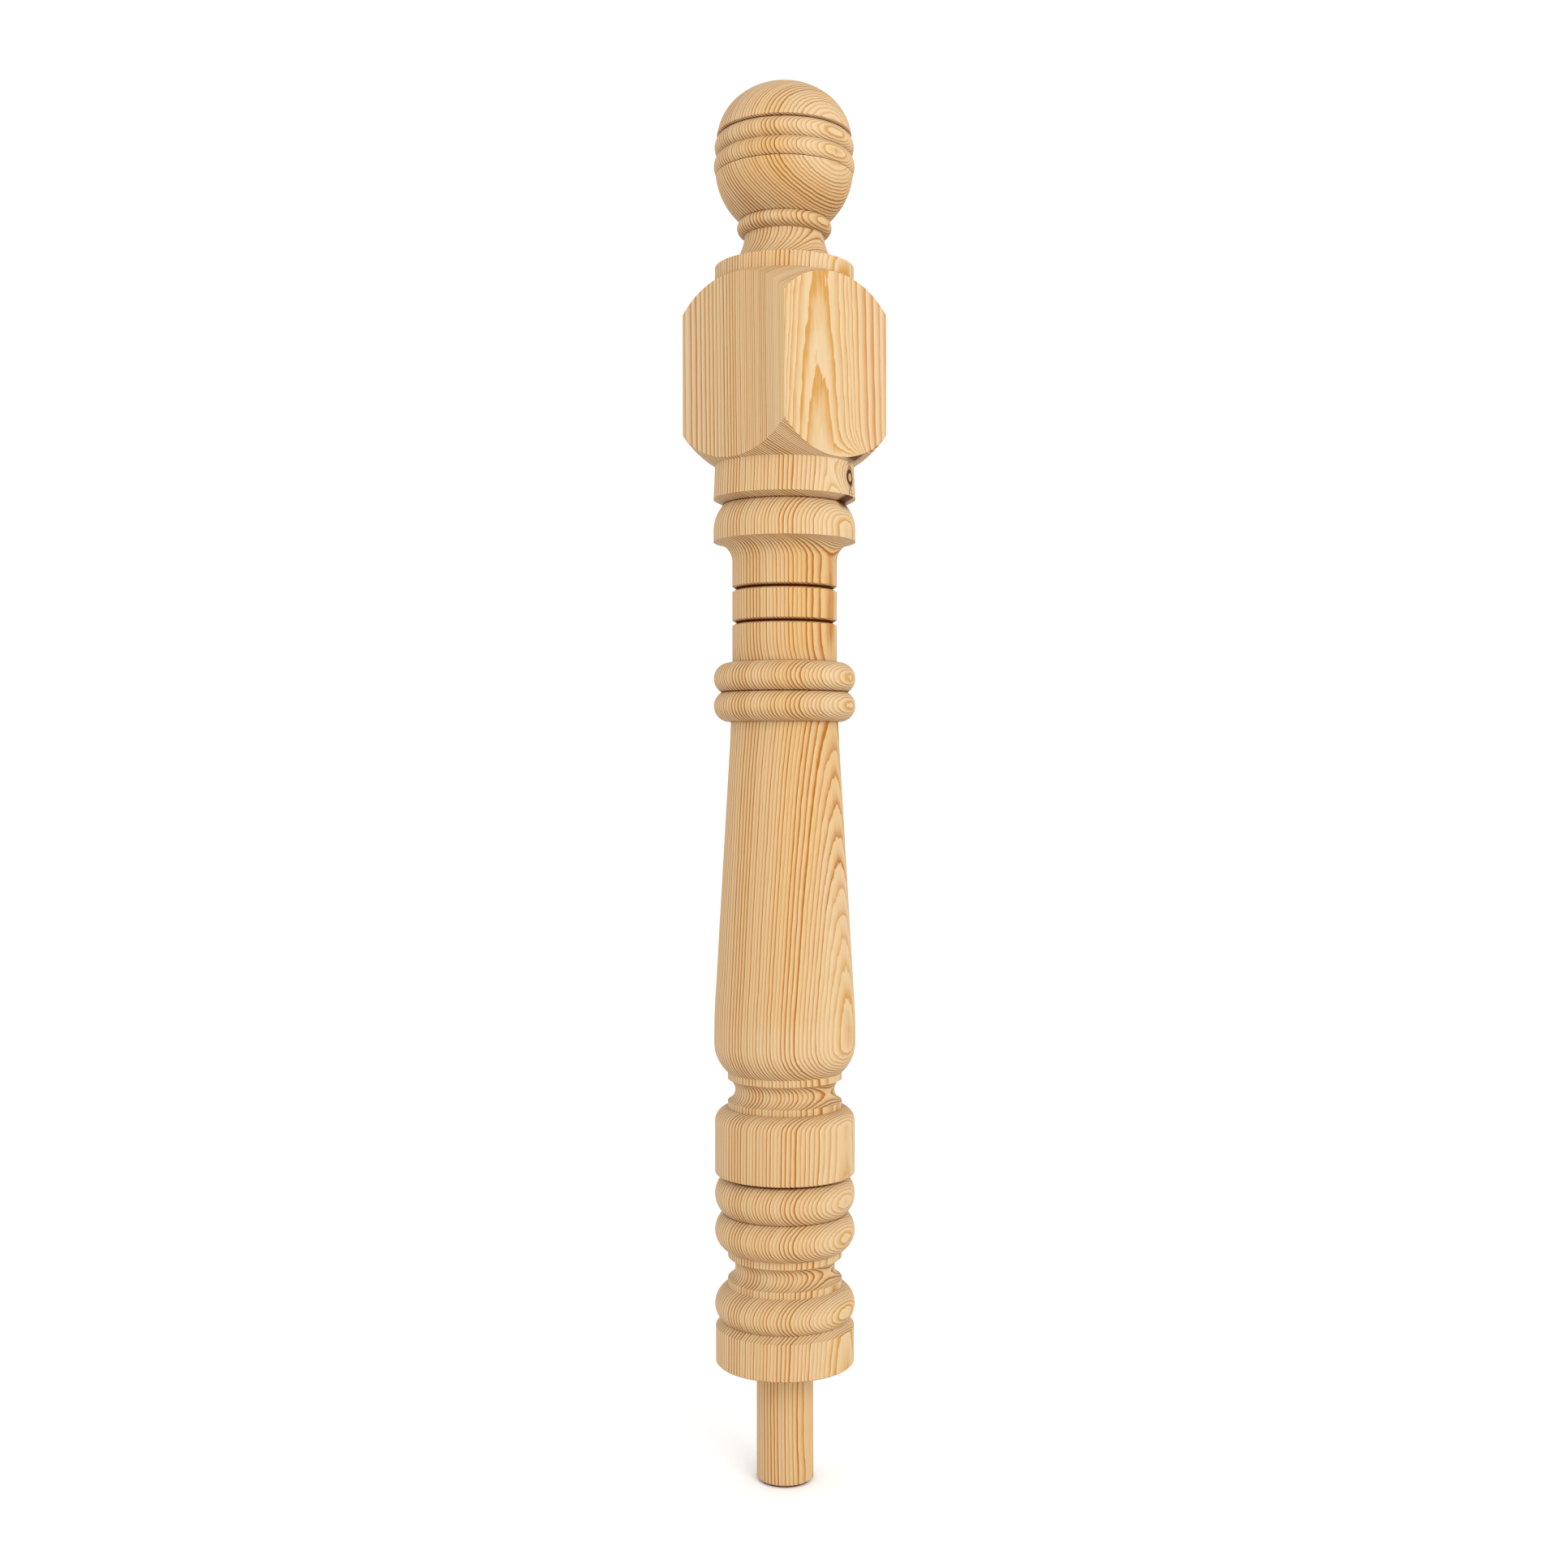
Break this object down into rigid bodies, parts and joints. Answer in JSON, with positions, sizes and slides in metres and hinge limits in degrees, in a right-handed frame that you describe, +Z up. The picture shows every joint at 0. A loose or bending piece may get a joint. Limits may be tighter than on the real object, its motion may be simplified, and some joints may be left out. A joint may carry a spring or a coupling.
{
  "type": "newel post",
  "caption": "Turned softwood newel post with a peg below, moulded base, vase-shaped shaft, square handrail block and ball finial.",
  "frame": {"origin": "on the post's axis at the seat, the underside of the base plate, where the peg starts", "axes": "+Z up along the post's axis to the ball finial; the faces of the square block look along X and Y"},
  "size_m": [0.09, 0.09, 0.8728],
  "materials": {
    "pine": "bare sanded softwood, no varnish"
  },
  "bodies": {
    "root": {"newel_post": "pine"}
  },
  "joints": []
}
